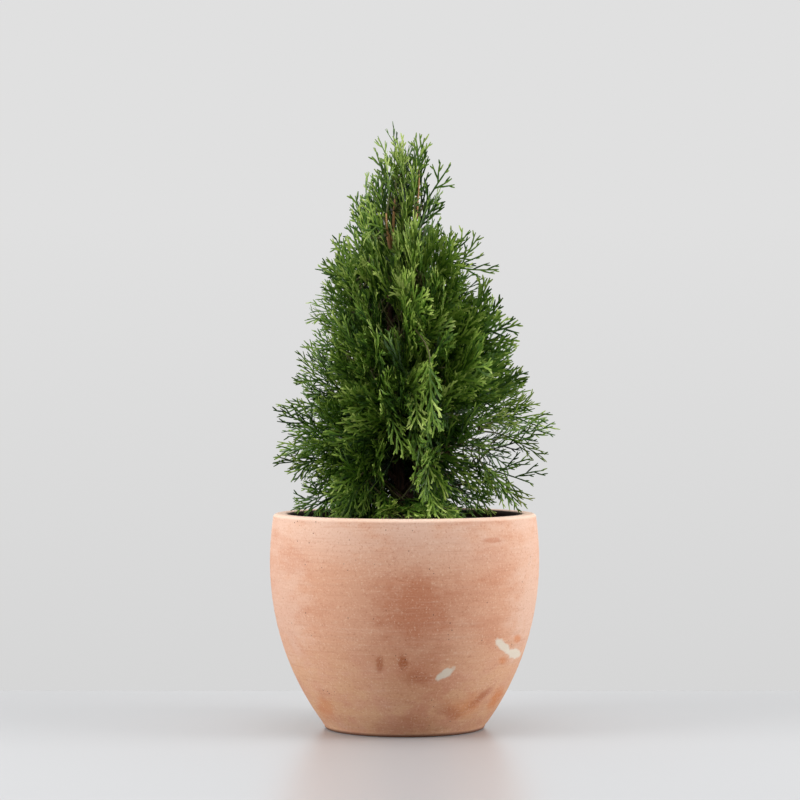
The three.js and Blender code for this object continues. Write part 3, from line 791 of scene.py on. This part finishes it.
# The next three are places seen from the front: middle and half sizes along X and up
airy = [  # where sky shows, then the share of sprays left out, and factors for gaps and widths
    ((60, 46), (32, 52), 0.86, 1.2, 0.7),
    ((-68, 50), (28, 54), 0.48, 1.2, 0.74),
    ((-60, 125), (22, 45), 0.35, 1.2, 0.76),
    ((-42, 195), (15, 40), 0.2, 1.2, 0.8),
    ((-4, 262), (30, 34), 0.15, 1.25, 0.86),
    ((30, 190), (16, 34), 0.25, 1.2, 0.8),
]
lattices = [((46, 48), (20, 38))]  # where every other spray is left out in the end
openings = [  # where dark or young wood shows
    ((-3, 34), (7, 12)),
    ((-11, 149), (4, 9)),
    ((-8.7, 230), (2.2, 8)),
    ((-11, 209), (2.2, 3)),
    ((13.6, 227), (2.2, 4)),
]


def woodPoints():  # on the stems and on the ribs of their sprays, with the mass each belongs to
    points, owners = [], []
    for number, (axis, sprays) in enumerate(zip(axes, crownSprays)):
        shares = np.linspace(axis["bareShare"], axis["stemEnd"], plume["stemPoints"])
        found = [curvePoint(axis["curve"], share) for share in shares]
        for one in sprays:
            for x in np.linspace(*plume["ribPoints"]) * one["length"]:
                found.append(one["root"] + np.array([x, 0, bowAt(x, one["length"])]) @ one["basis"])
        points += found
        owners += [number] * len(found)
    return np.array(points), owners


def airAt(one):  # where a spray stands: the share left out, and its factors
    x, _, z = one["placed"].mean(0)
    for at, halves, share, gaps, widths in airy:
        if ((x - at[0]) / halves[0]) ** 2 + ((z - at[1]) / halves[1]) ** 2 < 1:
            return share, dict(gaps=gaps, widths=widths)
    return 0.0, dict(gaps=1.0, widths=1.0)


def inLattice(one):
    x, _, z = one["placed"].mean(0)
    return any(abs(x - at[0]) < halves[0] and abs(z - at[1]) < halves[1] for at, halves in lattices)


def inOpening(one):
    points = np.vstack([one["placed"], (one["placed"] + one["root"]) / 2])
    front = points[points[:, 1] < 0][:, [0, 2]]
    return any((np.abs(front - middle) < halves).all(1).any() for middle, halves in openings)


def growPlumes():
    random = seededRandom(plume["seed"])
    for number, sprays in enumerate(crownSprays):
        crownSprays[number] = [{**one, **airAt(one)[1]} for one in sprays
                               if not (random() < airAt(one)[0] or inOpening(one))]
    wood, owners = woodPoints()
    tips = np.empty((0, 3))
    for drift, count, heights, azimuths, depths, setRise, lighter, thinned in drifts:
        grown = 0
        draped = setRise is not None
        apart = plume["drapedApart"] if draped else plume["apart"]
        for _ in range(plume["tries"]):
            if grown == count:
                break
            height, azimuth = lerp(*heights, random()), lerp(*azimuths, random())
            reach = crownReachAt(height, azimuth)
            fullness = reach / crown["radius"]
            if random() > fullness ** plume["sparse"] or depths[0] > reach:  # fewer where the crown is slim
                continue
            out = reach - lerp(depths[0], min(depths[1], reach), random() ** plume["depthPower"])
            tip = np.array([math.cos(azimuth) * out, math.sin(azimuth) * out, height])
            if len(tips) and np.linalg.norm(tips - tip, axis=1).min() < apart:
                continue
            rise = setRise if draped else np.interp(height, plume["heights"], plume["rises"])
            rise += jitter(random, plume["riseJitter"])
            heading = azimuth + jitter(random, plume["headingJitter"])
            level = np.array([math.cos(heading), math.sin(heading), 0.0])
            direction = level * math.cos(rise) + up * math.sin(rise)
            flat = level if draped else np.cross(up, level)  # draped over what lies below, or on edge
            normal = turned(squareTo(flat, direction), direction, jitter(random, plume["turn"]))
            length = lerp(*plume["length"], random()) * lerp(plume["slimLength"], 1, clamp(fullness))
            one = placedSpray(tip - direction * length, direction, normal, length, plume["slimness"])
            overReach = plume["overReach"] - min(0, depths[0])
            if not (inCrown(one["placed"], overReach) and clearOfPot(one["placed"])):
                continue
            share, fineness = airAt(one)
            if inOpening(one) or thinned and random() < share:
                continue
            back = one["root"] - wood
            far = np.linalg.norm(back, axis=1)
            nearest = int(np.argmin(far - plume["forwardness"] * (back @ direction)))
            if far[nearest] > plume["farthestTwig"]:
                continue
            one.update(fineness, twigRoot=wood[nearest], lighter=lighter)
            crownSprays[owners[nearest]].append(one)
            tips = np.vstack([tips, tip])
            grown += 1
        print("plumes,", drift + ":", grown)
    for number, sprays in enumerate(crownSprays):
        crownSprays[number] = [one for i, one in enumerate(sprays) if i % 2 or not inLattice(one)]


growPlumes()

# Scale leaves: flat branchlets of pressed scales, which show as an edge that swells and narrows

branchlet = dict(ringGap=4.2, fewestRings=3, keel=0.5, swell=1.12, waist=0.88, blunt=0.6, cup=0.12, tilt=0.16,
                 ribWidth=(1.6, 1.35), ribCurl=0.2, seed=515, seedStep=31)
plumeRow = dict(gap=4.0, first=0.08, swell=(0.32, 0.92), fullness=1.9, reach=(5.0, 18.0))
sideRow = dict(gap=12.5, width=(1.55, 1.35), heading=(0.9, 0.55), curl=-0.3, placeJitter=0.12, outJitter=0.16,
               leanJitter=0.1, foremost=(1.15, 1.02, 4), firstTwiglet=2.8, twigletGap=4.4,
               twigletTaper=(0.62, 3), twigletReach=(4.0, 14.0), lighter=0.3, endTwiglet=4.0)
twiglet = dict(width=(1.5, 1.3), heading=0.47, curl=-0.2, bareEnd=1.2, lengthJitter=0.2, leanJitter=0.14,
               gapJitter=0.15)
prong = dict(onceFrom=9.0, onceAt=(0.66,), twiceFrom=13.5, twiceAt=(0.45, 0.72), length=4.6,
             lengthJitter=0.25, heading=0.48)
leafTones = ["#0d2602", "#203d06", "#3b5b12", "#5c7926", "#7f983e", "#a0b35c"]
# Tones are places in that list. Pairs are for the foot and the top of the crown.
# Of these, inner, outer and depths paint shade deep inside the crown, partly its older growth; higher paints
# light on its top, partly young growth; facing paints light on its front.
leafTone = dict(roughness=0.45, ior=1.34, inner=(1.2, 2.7), outer=2.85, facing=(0.6, 1.6), depths=(17, 90),
                higher=0.45, jitter=0.35, rib=-1, base=-1.4, tip=0.5, strand=1.4, prong=0.5, foot=-1.0,
                end=0.35)


def leafMaterials():
    # Thuja scale leaves: waxy, half matt, from deep green to pale yellow-green young tips; the darker tones
    # also paint shade deep inside the crown
    gloss = dict(Roughness=leafTone["roughness"], IOR=leafTone["ior"])
    return [newMaterial(f"scaleLeaf{number}", Base_Color=linear(tone), **gloss)[0]
            for number, tone in enumerate(leafTones, 1)]


def arcPoint(row, share):
    mean = row["heading"] + row["curl"] * share / 2
    reach = row["length"] * share
    x, y = row["x"] + reach * math.cos(mean), row["y"] + reach * math.sin(mean)
    return x, y, row["z"] + row["tilt"] * reach


def growRow(parent, share, length, lean, curl, widths, tone, random):
    x, y, z = arcPoint(parent, share)
    heading = parent["heading"] + parent["curl"] * share + lean
    tilt = parent["tilt"] + jitter(random, branchlet["tilt"])
    return dict(x=x, y=y, z=z, heading=heading, curl=curl, length=length, widths=widths, tilt=tilt, tone=tone)


def growProngs(row, tone, random):  # a long branchlet forks once or twice
    sign = eitherSide(random)
    if row["length"] < prong["onceFrom"]:
        return []
    rows = []
    for share in prong["onceAt"] if row["length"] < prong["twiceFrom"] else prong["twiceAt"]:
        length = prong["length"] * (1 + jitter(random, prong["lengthJitter"]))
        rows.append(growRow(row, share, length, sign * prong["heading"], 0, twiglet["width"], tone, random))
        sign = -sign
    return rows


def growTwiglets(row, start, gap, lengthAt, tone, random):  # in turn to the left and right
    rows = []
    along, sign = start, eitherSide(random)
    while along < row["length"] - twiglet["bareEnd"]:
        share = along / row["length"]
        length = lengthAt(along) * (1 + jitter(random, twiglet["lengthJitter"]))
        lean = sign * (twiglet["heading"] + jitter(random, twiglet["leanJitter"]))
        grown = growRow(row, share, length, lean, sign * twiglet["curl"], twiglet["width"], tone, random)
        # darker near the foot of the row, partly older growth and partly painted shade; lighter towards its
        # tip, young growth
        grown["tone"] += lerp(leafTone["base"], leafTone["tip"], share) + jitter(random, leafTone["strand"])
        rows += [grown] + growProngs(grown, grown["tone"] + leafTone["prong"], random)
        along += gap * (1 + jitter(random, twiglet["gapJitter"]))
        sign = -sign
    return rows


def newRib(one, tone, random):
    return dict(x=0, y=0, z=0, heading=0, curl=jitter(random, branchlet["ribCurl"]), length=one["length"],
                widths=branchlet["ribWidth"], tilt=0, tone=tone + leafTone["rib"])


def growPlume(one, tone, random):  # rows of a plume, flat, from its root along X
    rib = newRib(one, tone, random)

    def lengthAt(along):
        swell = math.sin(math.pi * lerp(*plumeRow["swell"], along / one["length"]))
        return clamp(plumeRow["fullness"] * one["halfWidth"] * swell, *plumeRow["reach"])
    start, gap = plumeRow["first"] * one["length"], plumeRow["gap"] * one["gaps"]
    return [rib] + growTwiglets(rib, start, gap, lengthAt, tone, random)


def growSpray(one, tone, random):  # rows of a broad spray, whose side branchlets bear twiglets of their own
    length, halfWidth = one["length"], one["halfWidth"]
    steep, end, spare = sideRow["foremost"]
    taper, shortest = sideRow["twigletTaper"]
    gap = sideRow["twigletGap"] * one["gaps"]
    rib = newRib(one, tone, random)
    rows = [rib]
    count = max(2, round(length * (spray["lastTooth"] - spray["firstTooth"]) / sideRow["gap"]))
    for sign in (-1, 1):
        for i in range(count):
            stagger = 0 if sign > 0 else spray["stagger"]
            share = clamp((i + stagger + jitter(random, sideRow["placeJitter"])) / count)
            out = halfWidth * math.sin(math.pi * lerp(*spray["swell"], share))
            out *= 1 + jitter(random, sideRow["outJitter"])
            lean = lerp(*sideRow["heading"], share) + jitter(random, sideRow["leanJitter"])
            at = lerp(spray["firstTooth"], spray["lastTooth"], share)
            reach = min(out / math.sin(lean + sideRow["curl"] / 2), steep * length * (end - at) + spare)
            curl = sign * sideRow["curl"]
            row = growRow(rib, at, reach, sign * lean, curl, sideRow["width"], tone, random)

            def lengthAt(along):
                return clamp(taper * (reach - along) + shortest, *sideRow["twigletReach"])
            lighter = tone + sideRow["lighter"]
            rows += [row] + growTwiglets(row, sideRow["firstTwiglet"], gap, lengthAt, lighter, random)
    start = spray["lastTooth"] * length
    return rows + growTwiglets(rib, start, plumeRow["gap"], lambda along: sideRow["endTwiglet"], tone, random)


def column(items, name):  # one value of each, one below the other
    return np.array([item[name] for item in items])[:, None]


def branchletRings(rows, owners, steps):  # three-sided rings along each branchlet
    share = np.linspace(0, 1, steps)
    heading = column(rows, "heading") + column(rows, "curl") * share
    mean = column(rows, "heading") + column(rows, "curl") * share / 2
    reach = column(rows, "length") * share
    x = column(rows, "x") + reach * np.cos(mean)
    y = column(rows, "y") + reach * np.sin(mean)
    cup = branchlet["cup"] * y * y / column(owners, "halfWidth")
    z = column(rows, "z") + column(rows, "tilt") * reach + bowAt(x, column(owners, "length")) + cup
    basis = np.array([one["basis"] for one in owners])
    centre = np.einsum("nsi,nij->nsj", np.stack([x, y, z], axis=-1), basis) + column(owners, "root")
    across = np.stack([-np.sin(heading), np.cos(heading), np.zeros_like(heading)], axis=-1)
    across = np.einsum("nsi,nij->nsj", across, basis)
    scales = np.where(np.arange(steps) % 2, branchlet["swell"], branchlet["waist"])
    scales[-1] = branchlet["blunt"]
    widths = column(rows, "widths")
    widths = lerp(widths[..., 0], widths[..., 1], share) * column(owners, "widths")
    half = (widths * scales / 2)[..., None]
    keel = basis[:, None, 2] * half * branchlet["keel"]
    across = across * half
    return np.stack([centre + across, centre + keel, centre - across], axis=2) + up * ground


# Painted shade and light: darker deep inside, partly older growth; lighter at the outside and the top, partly
# young growth; lighter at the front, painted light.
def sprayTone(one, random):  # deep inside the crown, lighter at its outside, its front and its top
    x, y, z = one["root"] + one["basis"][0] * one["length"]
    out = math.hypot(x, y)
    depth = max(0, crownReachAt(z, math.atan2(y, x)) - out)
    high = clamp(z / crown["height"])
    shown = math.exp(-depth / lerp(*leafTone["depths"], high))
    tone = lerp(lerp(*leafTone["inner"], high), leafTone["outer"], shown)
    tone += leafTone["higher"] * high + jitter(random, leafTone["jitter"])
    return tone - lerp(*leafTone["facing"], high) * y / out


def spraysPiece(name, numbers, materials):
    buckets = {}
    for number in numbers:
        random = seededRandom(branchlet["seed"] + branchlet["seedStep"] * number)
        for one in crownSprays[number]:
            tone = sprayTone(one, random)
            slim = "lighter" in one
            rows = growPlume(one, tone + one["lighter"], random) if slim else growSpray(one, tone, random)
            for row in rows:
                steps = max(branchlet["fewestRings"], round(row["length"] / branchlet["ringGap"]) + 1)
                buckets.setdefault(steps, []).append((row, one))
    groups = []
    for steps, found in sorted(buckets.items()):
        rows, owners = zip(*found)
        along = (np.arange(steps - 1) + 0.5) / (steps - 1)
        # painted shade: each branchlet darker at its foot, where its neighbours shade it, and lighter towards
        # its end
        tones = column(rows, "tone") + lerp(leafTone["foot"], leafTone["end"], along)
        inks = np.clip(np.round(tones), 0, len(leafTones) - 1)
        groups.append((branchletRings(rows, owners, steps), inks))
    nodes = [f"foliage_{axes[number]['name']}" for number in numbers]
    return finishPiece(name, tubesMesh(name, groups), materials, nodes, smooth=False)


tiers = dict(sprays_skirt=range(0, 5), sprays_low=range(5, 9), sprays_waist=range(9, 12),
             sprays_middle=range(12, 15), sprays_shoulder=range(15, 18), sprays_upper=range(18, 21),
             sprays_high=range(21, 26), sprays_tips=range(26, 28))
leaves = leafMaterials()
for tier, numbers in tiers.items():
    spraysPiece(tier, numbers, leaves)

# Trunk, boughs and twigs: stringy bark on the trunk and boughs, orange-brown young wood above

bark = dict(dark="#1f140d", brown="#4a3122", young="#b98b5e", twig="#4a4a1e", stem="#46321f", youngAbove=345,
            youngFade=25, roughness=0.9, ior=1.45, fibre=1.6, fibreStretch=(1, 1, 0.12), fibreDetail=5.0,
            furrow=(0.36, 0.62), bump=(0.7, 0.5), trunkSides=24, trunkSteps=150, boughSides=12, boughSteps=30,
            ridge=0.14, strings=3.2, stringLength=26, knotSize=6, knotShare=0.6, collar=0.7, collarLength=7,
            slimTop=0.35, slimPower=4)
twig = dict(stemSides=6, stemSteps=9, stemRidge=0.1, sides=4, steps=6, radii=(0.75, 0.55), rooted=0.12,
            bend=0.45, shortest=1)
twigWoods = [("youngWood", "young", 0.6), ("brownStem", "stem", 0.7), ("greenTwig", "twig", 0.6)]


def limb(points, radii, side, sides, relief, ink=0):  # one tube with its material index
    points = np.array(points)
    rings = []
    for point, radius, run in zip(points, radii, np.gradient(points, axis=0)):
        tangent = unit(run)
        across = squareTo(side, tangent)
        aside = np.cross(tangent, across)
        ring = []
        for k in range(sides):
            turn = fullTurn * k / sides
            spoke = across * math.cos(turn) + aside * math.sin(turn)
            swell = 1.0
            if relief:  # long fibres round the limb, with knots between them
                spot = point + spoke * radius
                fibre = (bark["strings"] * math.cos(turn), bark["strings"] * math.sin(turn),
                         spot[2] / bark["stringLength"])
                knots = noise.noise(Vector(spot) / bark["knotSize"])
                swell += relief * (noise.noise(Vector(fibre)) + bark["knotShare"] * knots)
            ring.append(point + spoke * radius * swell)
        rings.append(ring)
    return np.array(rings)[None] + up * ground, np.array([ink])


def stringyBark():
    # Arborvitae bark: thin, stringy and dull, brown with dark furrows, orange-brown where it is young
    material, tree, shader = newMaterial("stringyBark", Roughness=bark["roughness"], IOR=bark["ior"])
    place = addNode(tree, "TexCoord").outputs["Object"]
    stretched = addNode(tree, "Mapping", {"Vector": place, "Scale": bark["fibreStretch"]})
    fibre = addNode(tree, "TexNoise", {"Vector": stretched.outputs[0], "Scale": perSize(bark["fibre"]),
                                       "Detail": bark["fibreDetail"]}).outputs["Fac"]
    height = addNode(tree, "SeparateXYZ", {0: place}).outputs["Z"]
    youngFrom, youngTo = bark["youngAbove"] * mm, (bark["youngAbove"] + bark["youngFade"]) * mm
    colour = linear(bark["dark"])
    for guide, low, high, ink in ((fibre, *bark["furrow"], "brown"), (height, youngFrom, youngTo, "young")):
        share = addNode(tree, "MapRange", {"Value": guide, "From Min": low, "From Max": high})
        mixed = addNode(tree, "Mix", {0: share.outputs[0], 6: colour, 7: linear(bark[ink])}, data_type="RGBA")
        colour = mixed.outputs[2]
    finishSurface(tree, shader, colour, fibre, *bark["bump"])
    return material


def trunkPiece(material):
    shares = np.linspace(0, 1, bark["trunkSteps"])
    points = [trunkPoint(s) for s in shares]
    radii = [trunkRadiusAt(s) * (1 - bark["slimTop"] * s ** bark["slimPower"]) for s in shares]
    rings, ink = limb(points, radii, np.array([1.0, 0, 0]), bark["trunkSides"], bark["ridge"])
    rings[0, 0, :, 2] = ground  # cut flat at the soil
    return finishPiece("trunk", tubesMesh("trunk", [(rings, ink)]), [material], ["trunk"])


def boughsPiece(material):
    limbs = [axis for axis in axes if axis["bareShare"] > 0]
    shares = np.linspace(0, 1, bark["boughSteps"])
    groups = []
    for axis in limbs:
        points = [curvePoint(axis["curve"], s * axis["bareShare"]) for s in shares]
        along = [np.linalg.norm(p - points[0]) for p in points]
        collars = [bark["collar"] * math.exp(-a / bark["collarLength"]) for a in along]
        radii = [lerp(axis["radius"], bough["tipRadius"], s) + c for s, c in zip(shares, collars)]
        groups.append(limb(points, radii, axis["side"], bark["boughSides"], bark["ridge"]))
    nodes = [f"bough_{axis['name']}" for axis in limbs]
    return finishPiece("boughs", tubesMesh("boughs", groups), [material], nodes)


def twigsPiece():
    # Stems: orange-brown young wood near the top, dull brown below. Twigs: green-brown.
    woods = [newMaterial(name, Base_Color=linear(bark[ink]), Roughness=roughness, IOR=bark["ior"])[0]
             for name, ink, roughness in twigWoods]
    groups = []
    for axis, found in zip(axes, crownSprays):
        shares = np.linspace(axis["bareShare"], axis["stemEnd"], twig["stemSteps"])
        points = [curvePoint(axis["curve"], s) for s in shares]
        ink = 0 if points[0][2] + ground > bark["youngAbove"] else 1
        footRadius = mass["stemRadius"] * (1 if ink else 1 - bark["slimTop"])
        radii = np.linspace(footRadius, mass["stemTipRadius"], twig["stemSteps"])
        groups.append(limb(points, radii, axis["side"], twig["stemSides"], twig["stemRidge"], ink))
        for one in found:
            heading, _, normal = one["basis"]
            end = one["root"] + heading * twig["rooted"] * one["length"]
            span = np.linalg.norm(end - one["twigRoot"])
            if span < twig["shortest"]:
                continue
            curve = (one["twigRoot"], end - heading * twig["bend"] * span, end)
            points = [curvePoint(curve, s) for s in np.linspace(0, 1, twig["steps"])]
            radii = np.linspace(*twig["radii"], twig["steps"])
            groups.append(limb(points, radii, normal, twig["sides"], 0, 2))
    return finishPiece("twigs", tubesMesh("twigs", groups), woods)


barkMaterial = stringyBark()
trunkPiece(barkMaterial)
boughsPiece(barkMaterial)
twigsPiece()
